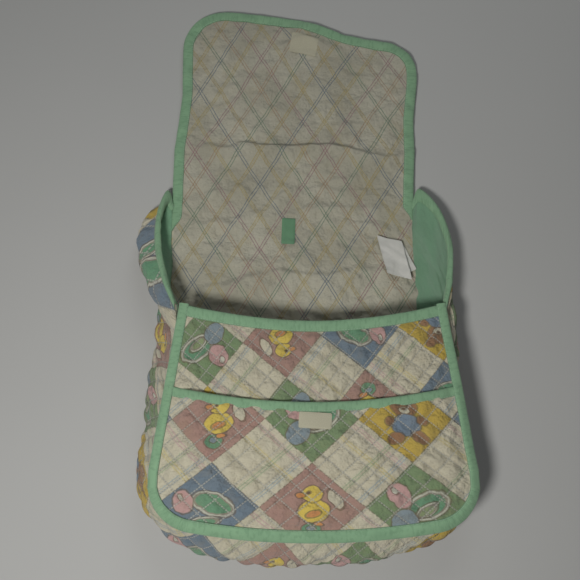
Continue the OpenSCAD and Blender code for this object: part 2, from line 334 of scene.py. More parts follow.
LINING_FOLDS = (small_folds(46, (-130, -60), (90, 130), (1.0, 2.8), (22, 60), 41)
                + small_folds(16, (-120, 140), (90, 265), (0.5, 1.5), (20, 50), 42))
PRINT_FOLDS = small_folds(60, (-120, -270), (110, -60), (0.7, 2.0), (14, 40), 43)

# How far the rumpled flap's edges stray from straight ones: (y, dx) up each side, (x, dy) along the free end.
STRAY_LEFT = [(60, 0.5), (130, -0.9), (165, 2.0), (194, 4.1), (225, 2.5), (300, 0)]
STRAY_RIGHT = [(60, 0.8), (130, 0.8), (165, -1.2), (206, 1.4), (250, 1.0)]
STRAY_END = [(-135, 0), (-91, 1.5), (-48, 5.0), (-3, 8.0), (22, 4.5), (46, -1.5), (68, -2.5), (92, -2.0),
             (125, -1.0)]


def ridge(x, y, height, steep, gentle, route):
    nearest, signed, along = (np.full(x.shape, v, float) for v in (np.inf, 0, 0))
    for k, (a, b) in enumerate(zip(route, route[1:])):
        d = b - a
        t = np.clip(((x - a[0]) * d[0] + (y - a[1]) * d[1]) / (d @ d), 0, 1)
        ox, oy = x - a[0] - t * d[0], y - a[1] - t * d[1]
        far = np.hypot(ox, oy)
        closer = far < nearest
        nearest[closer] = far[closer]
        signed[closer] = (np.sign(d[0] * oy - d[1] * ox) * far)[closer]
        along[closer] = ((k + t) / (len(route) - 1))[closer]
    width = np.where(signed > 0, steep, gentle)
    return height * np.sin(np.pi * np.clip(along, 0.03, 0.97)) ** 0.6 * np.exp(-((signed / width) ** 2))


def lift(xy):
    """How far the cloth that lies on the floor is rumpled up from it."""
    x, y = xy[..., 0], xy[..., 1]
    waves = 0.9 * (1 + noise(x, y, 70, 3)) + 0.5 * (1 + noise(x, y, 32, 4))
    high = np.maximum.reduce([ridge(x, y, *fold) for fold in FOLDS])
    return (high + waves) * ease((y + 250) / 120)


def stray(xy):
    """Moves points of the flap to where the rumpled cloth really lies."""
    x, y = xy[..., 0], xy[..., 1]
    half = np.clip((x - MIDDLE_X) / BACK.half_width, -1, 1)
    left = np.interp(y, *zip(*STRAY_LEFT)) * ease(-half)
    right = np.interp(y, *zip(*STRAY_RIGHT)) * ease(half)
    end = np.interp(x, *zip(*STRAY_END)) * ease((y - 170) / 90)
    return np.stack([x + left + right, y + end], -1)


def lying(xy):
    """The heights of the upper and lower face of the cloth that lies on the floor."""
    x, y = xy[..., 0], xy[..., 1]
    wrinkles = (1.2 * noise(x + 0.6 * y, 1.8 * (y - 0.5 * x), 21, 5)
                + 0.8 * noise(x - 0.8 * y, 2.0 * (y + 0.4 * x), 17, 7)
                + 0.4 * noise(x, y, 7.5, 6) + 0.18 * noise(x, y, 4.2, 8))
    lifted = lift(xy)
    return LYING_Z + lifted + wrinkles + sum(ridge(x, y, *fold) for fold in LINING_FOLDS), FLOOR_Z + lifted


def front_sag(xy):
    """The front's gentle humps and hollows, and the slack at its open edge."""
    x, y = xy[..., 0], xy[..., 1]
    into = -(y - FRONT.top[1])
    slack = -2.5 * np.exp(-((into - 20) / 28) ** 2) * (1 - ((x - 8) / 135) ** 2)
    return slack + 2.2 * noise(x, y, 62, 11) + 0.8 * noise(x, y, 27, 12)


# ---- the quilting

HALF_SQUARE = 44.0    # half the diagonal of a printed square
STITCH_PITCH = 19.0   # between quilting lines
STITCH_RUN = 2.6      # from one stitch to the next
DIAGONAL = 1 / math.sqrt(2)
WALL_PUFF, FRONT_PUFF, POCKET_PUFF, UNDER_PUFF = 3.3, 3.6, 3.5, 1.7    # how high the quilting puffs up


def edge_fade(grid, start, width, *lines):
    """0 at an edge and under its tape, and 1 where the quilting puffs up."""
    return ease((distance(grid, *lines) - start) / width)


def puff(uv):
    """The quilting's relief, from 0 at a stitch line to 1 in the middle of a cell. uv is in millimetres."""
    a = (uv[..., 0] + uv[..., 1]) / math.sqrt(2) * math.pi / STITCH_PITCH
    b = (uv[..., 0] - uv[..., 1]) / math.sqrt(2) * math.pi / STITCH_PITCH
    return np.abs(np.sin(a)) ** 0.6 * np.abs(np.sin(b)) ** 0.6


def print_relief(grid, uv, fade, height):
    """The quilting's puffs, with the small creases between them."""
    x, y = grid[..., 0], grid[..., 1]
    creases = 0.8 * noise(x, y, 9, 13) + 0.5 * noise(x + y, 1.7 * (x - y), 7, 14)
    creases = creases + sum(ridge(x, y, *fold) for fold in PRINT_FOLDS)
    return (height * (puff(uv) - 0.2) + creases) * fade


# ---- meshes


def stands_for(name):
    """The CAD nodes that a piece replaces. A quilt is an outer cloth and its wadding, and the back's
    cloth runs on into the crown."""
    panel, kind = name.lower().rsplit("_", 1)
    kinds = ["outer", "wadding"] if kind == "quilt" else [kind]
    panels = ["back", "crown"] if name in ("Back_Quilt", "Back_Lining") else [panel]
    return [panel + "_" + kind for panel in panels for kind in kinds]


def mesh_object(name, points, faces, uv, material, smooth_angle=50):
    """A closed mesh from points in millimetres, with one cloth coordinate (metres) for each point."""
    mesh = bpy.data.meshes.new(name)
    mesh.from_pydata((np.asarray(points, float).reshape(-1, 3) * MM).tolist(), [], faces)
    layer = mesh.uv_layers.new(name="Cloth")
    loops = np.zeros(len(mesh.loops), int)
    mesh.loops.foreach_get("vertex_index", loops)
    layer.data.foreach_set("uv", np.asarray(uv, np.float32).reshape(-1, 2)[loops].ravel())
    work = bmesh.new()
    work.from_mesh(mesh)
    bmesh.ops.recalc_face_normals(work, faces=work.faces)
    work.to_mesh(mesh)
    work.free()
    mesh.shade_smooth()
    mesh.set_sharp_from_angle(angle=math.radians(smooth_angle))
    piece = bpy.data.objects.new(name, mesh)
    bpy.context.scene.collection.objects.link(piece)
    mesh.materials.append(material)
    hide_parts(*stands_for(name))
    return piece


def shell(name, top, bottom, uv, material, **more):
    """A closed sheet between two grids of the same size."""
    rows, columns = top.shape[:2]
    index = np.arange(rows * columns).reshape(rows, columns)
    quads = np.stack([index[:-1, :-1], index[:-1, 1:], index[1:, 1:], index[1:, :-1]], -1).reshape(-1, 4)
    lower = (quads + rows * columns)[:, ::-1]
    rim = np.concatenate([index[0], index[1:, -1], index[-1, -2::-1], index[-2:0:-1, 0]])
    rim_under = rim + rows * columns
    sides = np.stack([rim, rim_under, np.roll(rim_under, -1), np.roll(rim, -1)], -1)
    faces = np.vstack([quads, lower, sides]).tolist()
    return mesh_object(name, np.vstack([top.reshape(-1, 3), bottom.reshape(-1, 3)]), faces,
                       np.vstack([uv.reshape(-1, 2)] * 2), material, **more)


# The tape's section: how far in from the edge (share of its width), and how far from the quilt's middle.
TAPE_SECTION = [(1.0, 1.0), (0.96, 1.2), (0.82, 1.36), (0.55, 1.42), (0.28, 1.26), (0.1, 0.96), (0.03, 0.55),
                (0.0, 0.0)]
ABOVE_FLOOR = 0.15    # the tape's inner face stays this high, and its outer face may touch the floor


def tape(name, skins, length_mm, seed, width=TAPE_W):
    """A binding tape folded over a quilt's edge. skins(s) gives the quilt's two faces, as two lists of points
    along the edge, at the share s of the tape's width inwards."""
    section = TAPE_SECTION + [(s, -h) for s, h in TAPE_SECTION[-2::-1]]
    rings = []
    for inner in (False, True):
        for s, h in section[::-1] if inner else section:
            top, bottom = skins(min(s + (TAPE_FOLD / width if inner and s < 0.1 else 0), 1))
            half, middle = (top - bottom) / 2, (top + bottom) / 2
            along = np.linspace(0, length_mm, len(middle))
            thickness = np.linalg.norm(half, axis=-1, keepdims=True)
            pucker = 0.26 * noise(along, along * 0 + 30 * s, 4.5, seed)
            pucker = pucker + 0.2 * noise(along, along * 0 + 9 * s, 13, seed + 50)
            pucker = pucker[:, None] * (s > 0.05) * abs(h)
            reach = (thickness + TAPE_T * (0.15 if inner else 1)) * h + pucker * np.sign(h)
            ring = middle + half / thickness * reach
            ring[:, 2] = np.maximum(ring[:, 2], ABOVE_FLOOR if inner else 0)
            rings.append(ring)
    points = np.stack(rings, 1)
    stations, ring = points.shape[:2]
    index = np.arange(stations * ring).reshape(stations, ring)
    nxt = np.roll(index, -1, axis=1)
    faces = np.stack([index[:-1], nxt[:-1], nxt[1:], index[1:]], -1).reshape(-1, 4).tolist()
    half_ring = ring // 2
    for end in (index[0], index[-1]):
        faces += [[end[k], end[k + 1], end[ring - 2 - k], end[ring - 1 - k]] for k in range(half_ring - 1)]
    steps = [abs(a[0] - b[0]) * width + 0.6 for a, b in zip(section, section[1:])]
    across = np.concatenate([np.cumsum([0] + steps)] * 2)
    across[half_ring:] = across[half_ring:][::-1]
    uv = np.stack(np.meshgrid(np.linspace(0, length_mm, stations), across, indexing="ij"), -1) * MM
    return mesh_object(name, points, faces, uv, TAPE, smooth_angle=70)


def flat_tape(name, outer, inner, faces, seed, width=TAPE_W, moved=lambda xy: xy):
    """A tape between the lines outer and inner on a nearly flat quilt, whose two heights faces gives."""
    def skins(s):
        xy = mix(outer, inner, s)
        return [with_z(moved(xy), z) for z in faces(xy)]
    return tape(name, skins, line_length(outer), seed, width)


# ---- materials

def dye(red, green, blue):
    """A cloth colour from a screen colour under dim light, as the shader's linear albedo."""
    return tuple(min(0.9, 2.2 * ((c / 255 + 0.055) / 1.055) ** 2.4) for c in (red, green, blue)) + (1,)


class Value:
    """A number, vector or colour in a shader. Python's operators add nodes that work on it."""

    def __init__(self, shader, socket):
        self.shader, self.socket = shader, socket

    def __add__(self, other):
        return self.shader.math("ADD", self, other)

    def __sub__(self, number):
        return self + -number

    def __mul__(self, other):
        return self.shader.math("MULTIPLY", self, other)

    def __truediv__(self, number):
        return self * (1 / number)

    def __abs__(self):
        return self.shader.math("ABSOLUTE", self)


class Shader:
    """Builds one material's nodes. Values and plain numbers can both be given as inputs."""

    def __init__(self, name):
        self.material = bpy.data.materials.new(name)
        self.material.use_nodes = True
        self.tree = self.material.node_tree

    def put(self, socket, value):
        if isinstance(value, Value):
            self.tree.links.new(value.socket, socket)
        else:
            socket.default_value = value

    def node(self, kind, inputs, **settings):
        """Adds a node and gives its outputs."""
        made = self.tree.nodes.new("ShaderNode" + kind)
        for key, value in settings.items():
            setattr(made, key, value)
        for key, value in inputs.items():
            self.put(made.inputs[key], value)
        return [Value(self, socket) for socket in made.outputs]

    def math(self, operation, *values):
        return self.node("Math", dict(enumerate(values)), operation=operation)[0]

    def below(self, value, limit, soft):
        """1 where value is below limit, 0 above, over a soft edge."""
        ends = {"From Min": limit - soft, "From Max": limit + soft, "To Min": 1.0, "To Max": 0.0}
        return self.node("MapRange", {"Value": value, **ends}, interpolation_type="SMOOTHSTEP")[0]

    def blend(self, factor, a, b):
        return self.node("Mix", {0: factor, 6: a, 7: b}, data_type="RGBA")[2]

    def steps(self, value, colours):
        """colours[k] where value is from k / count to (k + 1) / count."""
        made = self.node("ValToRGB", {"Fac": value})[0]
        ramp = made.socket.node.color_ramp
        ramp.interpolation = "CONSTANT"
        while len(ramp.elements) < len(colours):
            ramp.elements.new(1)
        for k in range(len(colours)):
            ramp.elements[k].position = k / len(colours)
        for k, colour in enumerate(colours):
            ramp.elements[k].color = colour
        return made

    def cloth(self):
        """The cloth coordinates in millimetres: u, v and the vector."""
        uv = self.node("UVMap", {}, uv_map="Cloth")[0]
        scaled = self.node("VectorMath", {0: uv, "Scale": 1 / MM}, operation="SCALE")[0]
        return *self.node("SeparateXYZ", {0: scaled})[:2], scaled

    def noise(self, vector, size, detail=2.0, roughness=0.5):
        inputs = {"Vector": vector, "Scale": 1 / size, "Detail": detail, "Roughness": roughness}
        return self.node("TexNoise", inputs)[0]

    def weave(self, vector, size):
        """A plain weave's relief: threads over and under."""
        parts = self.node("SeparateXYZ", {0: vector})[:2]
        warp, weft = [self.math("SINE", part * (math.tau / size)) for part in parts]
        return warp * weft

    def ellipse(self, x, y, rx, ry, turn):
        """Below 1 inside an ellipse round the origin."""
        c, n = math.cos(math.radians(turn)), math.sin(math.radians(turn))
        along, across = (x * c + y * n) / rx, (y * c + x * -n) / ry
        return along * along + across * across

    def finish(self, colour, height, bump_mm, roughness=0.85, sheen=0.25):
        bump = self.node("Bump", {"Height": height, "Strength": 1.0, "Distance": bump_mm * MM})[0]
        looks = {"Base Color": colour, "Roughness": roughness, "Sheen Weight": sheen,
                 "Specular IOR Level": 0.2, "Normal": bump}
        for key, value in looks.items():
            self.put(self.tree.nodes["Principled BSDF"].inputs[key], value)
        return self.material


BALLOON_PINK, BALLOON_BLUE = dye(150, 118, 116), dye(96, 110, 118)
RIBBON, RIBBON_EDGE, LEAF = dye(70, 112, 86), dye(150, 150, 138), dye(107, 121, 86)
DUCK, BEAK = dye(168, 148, 62), dye(158, 106, 60)
BROWN, DARK_BROWN, JACKET = dye(112, 80, 54), dye(74, 56, 42), dye(84, 100, 116)
CREAM, OUTLINE = dye(156, 151, 133), dye(70, 58, 44)
PICTURE_SIZE = 1.45


def both(colour, x, y, rx, ry, turn):
    """A shape of the teddy on the left and its mirror image on the right."""
    return [(colour, -x, y, rx, ry, turn), (colour, x, y, rx, ry, -turn)]


# The printed squares' pictures. A shape is an ellipse, in hundredths of a square's half diagonal:
# colour, middle x and y, radii x and y, turn in degrees.
PINK_DUCKLING = [
    (DUCK, 2, -6, 20, 17, 10), (DUCK, 0, 20, 13, 12, 0), (BEAK, -15, 19, 6, 3.5, 0),
    (DARK_BROWN, -4, 23, 2, 2, 0), (BEAK, 2, -10, 9, 5, 20), (CREAM, 30, 12, 7, 15, 30),
    (RIBBON, -2, -36, 12, 11, 0), (BALLOON_BLUE, -2, -33, 5, 4, 0), (BEAK, 8, -26, 6, 3, 0),
]
GREEN_BALLOONS = [
    (RIBBON_EDGE, 12, 2, 31, 20, 30), (RIBBON, 12, 2, 26, 15, 30), (RIBBON_EDGE, 10, -5, 16, 8, 35),
    (LEAF, 10, -6, 12, 5, 35), (BALLOON_PINK, -24, 18, 15, 20, 20), (BALLOON_BLUE, -20, -22, 16, 19, -30),
    (RIBBON_EDGE, -29, 26, 3, 5, 20),
]
YELLOW_TEDDY = [
    (BROWN, 0, 20, 19, 17, 0), *both(BROWN, 16, 34, 7, 7, 0), (JACKET, 0, -10, 20, 17, 0),
    *both(BROWN, 17, -30, 12, 9, 30), (CREAM, 0, 14, 8, 6, 0), (DARK_BROWN, 0, 17, 3, 2, 0),
    *both(DARK_BROWN, 7, 24, 1.8, 2.2, 0), *both(BROWN, 24, -3, 8, 6, 40),
]
BLUE_BALLOON = [
    (RIBBON_EDGE, 10, 5, 30, 17, -25), (RIBBON, 10, 5, 25, 12, -25), (RIBBON_EDGE, 0, -24, 20, 9, 10),
    (RIBBON, 0, -24, 16, 5.5, 10), (BALLOON_PINK, -30, 8, 13, 19, 15), (RIBBON_EDGE, -34, 16, 3, 5, 15),
]
PICTURES = [PINK_DUCKLING, GREEN_BALLOONS, YELLOW_TEDDY, BLUE_BALLOON]
SQUARES = [dye(128, 100, 92), dye(86, 107, 75), dye(148, 126, 46), dye(76, 92, 106)]

# The cream squares' sketchy lines: which diagonal they follow, where between the squares, and the colour.
SKETCHED = [(1.0, 0.13, dye(146, 118, 120)), (-1.0, 0.13, dye(108, 124, 132)),
            (1.0, 0.40, dye(154, 142, 88)), (-1.0, 0.40, dye(110, 128, 98))]


def print_cloth():
    """The quilted patchwork print: pictured squares on point between cream ones with a pastel plaid."""
    s = Shader("PatchworkPrint")
    u, v, cloth = s.cloth()
    wobble = (s.noise(cloth, 26) - 0.5) * 3.0
    x, y = (u + wobble) / HALF_SQUARE, (v + wobble) / HALF_SQUARE
    column, row = s.math("ROUND", x * 0.5), s.math("ROUND", y * 0.5)
    dx, dy = s.math("MULTIPLY_ADD", column, -2.0, x), s.math("MULTIPLY_ADD", row, -2.0, y)
    out = abs(dx) + abs(dy)
    kind = s.math("FRACT", (column + row + 401.0) * 0.25)
    coloured = s.below(out, 1.0, 0.012)

    ground = CREAM
    for sign, shift, shade in SKETCHED:
        side = s.math("MULTIPLY_ADD", y, sign, x)
        lane = abs(s.math("FRACT", side * 0.5 + shift) - 0.5)
        pair = s.below(abs(lane - 0.022), 0.007, 0.006)
        hatch = s.below(lane, 0.05, 0.02) * s.below(s.noise(cloth, 1.3), 0.47, 0.08)
        ground = s.blend(s.math("MAXIMUM", pair, hatch * 0.6) * 0.75, ground, shade)

    picture = s.steps(kind, SQUARES)
    px, py = [(c + (s.noise(cloth, 9) - 0.5) * 0.1) / PICTURE_SIZE for c in (dx, dy)]
    for index, shapes in enumerate(PICTURES):
        here = s.below(abs(kind - index / 4), 0.1, 0.01)
        for colour, *place, turn in shapes:
            middle_x, middle_y, rx, ry = [n / 100 for n in place]
            inside = s.ellipse(px - middle_x, py - middle_y, rx, ry, turn)
            rim = 1 + 0.04 / min(rx, ry)
            picture = s.blend(s.below(inside, rim, 0.08) * here * 0.65, picture, OUTLINE)
            picture = s.blend(s.below(inside, 1.0, 0.12) * here, picture, colour)
    base = s.blend(coloured, ground, picture)

    # a fine dark broken line round each square
    edge = s.below(abs(out - 1.0), 0.02, 0.01)
    broken = s.below(s.noise(cloth, 2.2, 1), 0.53, 0.08)
    base = s.blend(edge * broken * 0.7, base, dye(82, 76, 62))

    # quilting: short white stitches in sunken lines, which are also darkened with painted shade
    stitch, groove_and_painted_shade = 0.0, 0.0
    for sign in (1.0, -1.0):
        across = s.math("MULTIPLY_ADD", v, sign, u) * (DIAGONAL / STITCH_PITCH)
        run = s.math("MULTIPLY_ADD", v, -sign, u) * (DIAGONAL / STITCH_RUN)
        off = abs(s.math("WRAP", across, 0.5, -0.5))
        dash = s.below(abs(s.math("FRACT", run) - 0.5), 0.38, 0.06)
        stitch = s.math("MAXIMUM", stitch, s.below(off, 0.034, 0.012) * dash)
        groove_and_painted_shade = s.math("MAXIMUM", groove_and_painted_shade, s.below(off, 0.02, 0.07))
    # painted shade: the colour is darkened along the sunken stitch lines
    base = s.blend(groove_and_painted_shade * 0.3, base, dye(70, 68, 60))
    base = s.blend(stitch * 0.55, base, dye(158, 158, 150))
    base = s.blend(s.noise(cloth, 34, 3) * 0.2, base, dye(150, 144, 126))
    stain = s.below(s.noise(cloth, 15, 4, 0.6), 0.42, 0.1)
    base = s.blend(stain * 0.16, base, dye(112, 98, 70))
    height = s.weave(cloth, 0.9) * 0.05 + s.noise(cloth, 8.5, 4, 0.58) * 2.4
    return s.finish(base, height + groove_and_painted_shade * -0.5 + stitch * 0.25, bump_mm=2.6)


# The lining's plaid: each line's colour, and whether it has a middle thread.
PLAID = [(dye(74, 86, 96), 0.0), (dye(132, 118, 76), 1.0), (dye(80, 100, 82), 0.0),
         (dye(128, 106, 84), 0.0), (dye(118, 88, 92), 0.0), (dye(134, 122, 80), 1.0)]
PLAID_PITCH, PLAID_ANGLE = 19.6, 57


def plaid_lining():
    s = Shader("PlaidLining")
    u, v, cloth = s.cloth()
    base = s.blend(s.below(s.noise(cloth, 60, 4), 0.5, 0.16), dye(148, 145, 131), dye(134, 131, 117))
    base = s.blend(s.below(s.noise(cloth, 24, 3), 0.38, 0.08) * 0.35, base, dye(136, 129, 108))
    lean = math.radians(PLAID_ANGLE)
    for sign, start in ((1, 60.0), (-1, 62.0)):
        across = (u * (math.sin(lean) * sign) + v * math.cos(lean)) / PLAID_PITCH
        across = across + (s.noise(cloth, 30) - 0.5) * 0.12 + start
        which = s.math("FRACT", s.math("FLOOR", across) / len(PLAID)) + 0.02
        colour = s.steps(which, [c for c, _ in PLAID])
        threads = s.steps(which, [(m, m, m, 1) for _, m in PLAID])
        off = abs(s.math("FRACT", across) - 0.5)
        pair = s.below(abs(off - 0.07), 0.02, 0.012)
        single = s.below(off, 0.016, 0.012) * 0.6 * s.node("SeparateColor", {0: threads})[0]
        ink = s.below(s.noise(cloth, 2.4), 0.7, 0.25)
        base = s.blend(s.math("MAXIMUM", pair, single) * ink * 0.85, base, colour)
    speck = s.below(s.noise(cloth, 3.0), 0.31, 0.03)
    base = s.blend(speck * 0.3, base, dye(118, 100, 76))
    height = s.weave(cloth, 0.8) * 0.05 + s.noise(cloth, 10.0, 4, 0.56) * 2.2
    return s.finish(base, height, bump_mm=3.2)


def plain_cotton(name, colour, dark, bump_mm, fold):
    s = Shader(name)
    cloth = s.cloth()[2]
    base = s.blend(s.noise(cloth, 22, 4), dark, colour)
    return s.finish(base, s.weave(cloth, 0.7) * 0.06 + s.noise(cloth, fold, 4, 0.6), bump_mm)


def binding_tape():
    """Mint bias tape, puckered by its stitching, with painted shade in its pucker valleys and along its inner
    edge.
    """
    s = Shader("BindingTape")
    u, v, cloth = s.cloth()
    # the colour of the painted shade below
    shade = dye(58, 84, 64)
    pucker = s.noise(s.node("CombineXYZ", {0: u, 1: v * 0.28})[0], 2.6, 2, 0.55)
    base = s.blend(s.noise(cloth, 16, 3), dye(90, 118, 93), dye(108, 136, 108))
    # painted shade: darker where the puckers sink and along the tape's inner edge
    base = s.blend(s.below(pucker, 0.44, 0.08) * 0.22, base, shade)
    base = s.blend(s.below(v, 0.8, 0.5) * 0.35, base, shade)
    row = s.below(abs(v - 1.7), 0.22, 0.08)
    dash = s.below(abs(s.math("FRACT", u / 2.8) - 0.5), 0.34, 0.06)
    base = s.blend(row * dash * 0.5, base, dye(142, 164, 146))
    return s.finish(base, pucker * 0.9 + s.weave(cloth, 0.6) * 0.05 + row * -0.35, bump_mm=0.55)


def closure_tape():
    """Worn hook-and-loop tape."""
    s = Shader("ClosureTape")
    cloth = s.cloth()[2]
    fuzz = s.noise(cloth, 0.8, 4, 0.7)
    base = s.blend(fuzz, dye(124, 122, 104), dye(160, 156, 138))
    return s.finish(base, fuzz + s.weave(cloth, 1.3) * 0.3, bump_mm=0.5, roughness=0.7)


def label_ribbon():
    s = Shader("LabelRibbon")
    cloth = s.cloth()[2]
    base = s.blend(s.noise(cloth, 8, 3), dye(150, 149, 143), dye(168, 167, 162))
    return s.finish(base, s.weave(cloth, 0.5), bump_mm=0.06, roughness=0.55)


def floor_paint():
    s = Shader("Floor")
    place = s.node("TexCoord", {})[3]    # its object coordinates, in metres
    grain = s.noise(place, 1 / 2.2, 3.0)
    base = s.blend(grain, (0.50, 0.50, 0.485, 1), (0.56, 0.56, 0.545, 1))
    return s.finish(base, grain, bump_mm=0.2, roughness=0.75, sheen=0.0)


PRINT, PLAID_CLOTH, TAPE = print_cloth(), plaid_lining(), binding_tape()
GREEN = plain_cotton("GreenCotton", dye(108, 144, 116), dye(90, 124, 98), bump_mm=3.5, fold=11.0)
TAB_CLOTH = plain_cotton("TabCotton", dye(84, 116, 90), dye(66, 94, 72), bump_mm=0.3, fold=5.0)
CLOSURE, RIBBON_CLOTH, FLOOR = closure_tape(), label_ribbon(), floor_paint()


# ---- the back and the crown

# The lining is split across the crown along the foot of the biggest fold.
SPLIT = curve([(-150, 124), (-123, 124), (-85, 119), (-60, 122), (-20, 122), (29, 122), (53, 118), (77, 114),
               (99, 113), (130, 118)], 90)
LINING_SHARE = 1 - LINING_T / (LYING_Z - FLOOR_Z)    # of the lying quilt's thickness, below the lining


def split_y(x):
    return np.interp(x, SPLIT[:, 0], SPLIT[:, 1])


SPLIT_LEFT, SPLIT_RIGHT = split_y(base_left[0]), split_y(base_right[0])


def back_grid(inset, columns, rows, crown_rows):
    """The back from its bottom to the fold line, then the crown up to the split."""
    left, right, bottom = tub_sides(BACK, inset, rows, columns)
    top = resample([left[-1], right[-1]], columns)
    across = np.linspace(0, 1, columns)
    crown = []
    for t in np.linspace(0, 1, crown_rows + 1)[1:]:
        y_line = mix(FOLD_Y, split_y(top[:, 0]), t)
        left_x = flap_side(base_left, tip_left, y_line[0], inset)[0]
        right_x = flap_side(base_right, tip_right, y_line[-1], inset)[0]
        crown.append(np.stack([mix(left_x, right_x, across), y_line], -1))
    return np.vstack([coons(left, right, bottom, top), np.array(crown)])


def lying_quilt(name, grid, outline):
    """The padded print under the lining. Its stitch lines are drawn up from the floor."""
    (top, bottom), moved = lying(grid), stray(grid)
    uv = grid * [1, -1]
    drawn_up = UNDER_PUFF * (1 - puff(uv)) * edge_fade(grid, FLAP_TAPE_W - 2, 6, outline)
    return shell(name, with_z(moved, mix(bottom, top, LINING_SHARE)), with_z(moved, bottom + drawn_up),
                 uv * MM, PRINT)


def lying_lining(name, grid):
    (top, bottom), moved = lying(grid), stray(grid)
    return shell(name, with_z(moved, top), with_z(moved, mix(bottom, top, LINING_SHARE)), grid * MM,
                 PLAID_CLOTH)


back_outline = np.vstack([tip_right, BACK.at(np.linspace(0, 5, 240)), tip_left])
back_quilt = lying_quilt("Back_Quilt", back_grid(LIP, 100, 112, 20), back_outline)
back_lining = lying_lining("Back_Lining", back_grid(SEAM - 0.4, 118, 134, 24))


# ---- the flap

def flap_grid(inset, columns, rows):
    right_corner, left_corner = flap_corners(inset)
    middle = len(right_corner) // 2
    right_start = flap_side(base_right, tip_right, SPLIT_RIGHT, inset)
    left_start = flap_side(base_left, tip_left, SPLIT_LEFT, inset)
    right = resample(np.vstack([right_start, right_corner[: middle + 1]]), rows)
    left = resample(np.vstack([left_start, left_corner[middle:][::-1]]), rows)
    top = resample(np.vstack([left_corner[: middle + 1][::-1], right_corner[middle:][::-1]]), columns)
    across = mix(left_start[0], right_start[0], np.linspace(0, 1, columns))
    bottom = np.stack([across, split_y(across)], -1)
    bottom[0], bottom[-1] = left_start, right_start
    return coons(left, right, bottom, top)


flap_quilt = lying_quilt("Flap_Quilt", flap_grid(LIP, 100, 70), flap_line(0, 60, 60))
flap_lining = lying_lining("Flap_Lining", flap_grid(LIP + 0.4, 118, 82))

# ---- the wall

WALL_SQUARE_AT = 331     # how far along the wall from its right end one green square's middle lies
WALL_SPACING = 67.3      # between the printed squares there
WALL_CLOTH = 115         # how much cloth the wall's height holds
WALL_FOOT, WALL_HEAD = (corner[2] for corner in node_box("wall_wadding"))
WALL_T = 3.6
WALL_INSIDE = 1.2        # from the middle of the wall's thickness to its lining
WALL_LINED = 1.75        # and to that lining's inner face
WALL_PRINT_AT = 0.62     # the share of the wall's height where the printed squares' middles lie
WALL_GAP = 0.02          # the cloth stops this short of the strip's end edges
MOUTH_RIGHT = BACK.side_place(2)
MOUTH_LEFT = 5 - MOUTH_RIGHT
MOUTH_TAPE = 0.045       # the part of the strip's side that its end tape covers
MOUTH_PULL = 0.42        # the part over which the strip is pulled to its end edge

# The wall's two free end edges, from the back up to the front.
MOUTH_EDGE_LEFT = curve([(-141, 71, 4.6), (-145, 82, 10), (-150, 66, 18), (-152, 47, 24), (-150, 25, 30),
    (-146, 5, 35), (-138, -21, 41), (-127, -47, 45.2)], 200)
MOUTH_EDGE_RIGHT = curve([(117, 71, 4.6), (124, 84, 9), (141, 60, 20), (150, 23, 30), (146, -14, 38),
    (137, -47, 45.2)], 200)

# How far the wall bows out: (place, mm).
BOW = [(0, 22), (0.5, 12), (1, 6), (1.6, 20), (2.2, 43), (2.8, 43), (3.4, 26), (4, 11), (4.35, 8), (4.6, 8),
       (4.74, 5), (4.81, 7), (4.9, 20), (4.96, 30), (5, 34)]
HUMP = 25    # the bulge behind the left mouth


def wall_middle(places, rises):
    """The middle of the wall's thickness, as a grid of rises by places."""
    foot, head, out = BACK.at(places, SEAM), FRONT.at(places, SEAM), BACK.outward(places)
    arch = np.sin(np.pi * rises)[:, None, None]
    up = rises[:, None]
    along = np.r_[0, np.cumsum(np.linalg.norm(np.diff(mix(foot, head, 0.5), axis=0), axis=1))]
    crumple = 2.6 * noise(along[None], 90 * up, 34, 21) + 1.4 * noise(along[None], 90 * up, 15, 22)
    squares = np.abs(np.cos(np.pi * (along - WALL_SQUARE_AT) / WALL_SPACING)) ** 0.7
    crumple = crumple + 4.0 * (squares - 0.6)
    right_end = ease((0.8 - places) / 0.4) * ease(places / 0.06)
    fine = 3.0 * noise(along[None], 60 * up, 15, 23) + 1.2 * noise(along[None], 60 * up, 8, 24)
    crumple = (crumple + right_end * fine)[..., None] * arch ** 0.5
    bow = np.interp(places, *zip(*BOW))[None, :, None] * arch
    flat = mix(foot[None], head[None], rises[:, None, None]) + (bow + crumple) * out
    return with_z(flat, np.broadcast_to(mix(WALL_FOOT, WALL_HEAD, up), flat.shape[:2])), along


def wall_surface(places, rises):
    """The same with each free end pulled to where its edge really lies, and the bulge behind the left one."""
    grid, along = wall_middle(places, rises)
    for mouth, edge in ((MOUTH_RIGHT, MOUTH_EDGE_RIGHT), (MOUTH_LEFT, MOUTH_EDGE_LEFT)):
        standard = wall_middle(np.array([mouth]), rises)[0][:, 0]
        target = np.stack([np.interp(rises, np.linspace(0, 1, len(edge)), axis) for axis in edge.T], -1)
        pull = np.clip(1 - np.abs(places - mouth) / MOUTH_PULL, 0, 1) ** 2
        grid = grid + pull[None, :, None] * (target - standard)[:, None]
    beside = MOUTH_LEFT - places
    hump = HUMP * ease((beside - 0.03) / 0.06) * (1 - ease((beside - 0.12) / 0.16)) * (beside < 1)
    low_arch = np.sin(np.pi * rises ** 0.65)[:, None].clip(0) ** 0.7
    grid[..., :2] += (hump[None] * low_arch)[..., None] * BACK.outward(places)
    return grid, along


def grid_normals(grid, out):
    """Unit normals of a grid, on the side that out points to."""
    normal = unit(np.cross(np.gradient(grid, axis=1), np.gradient(grid, axis=0)))
    return normal * np.sign((normal[..., :2] * out).sum())


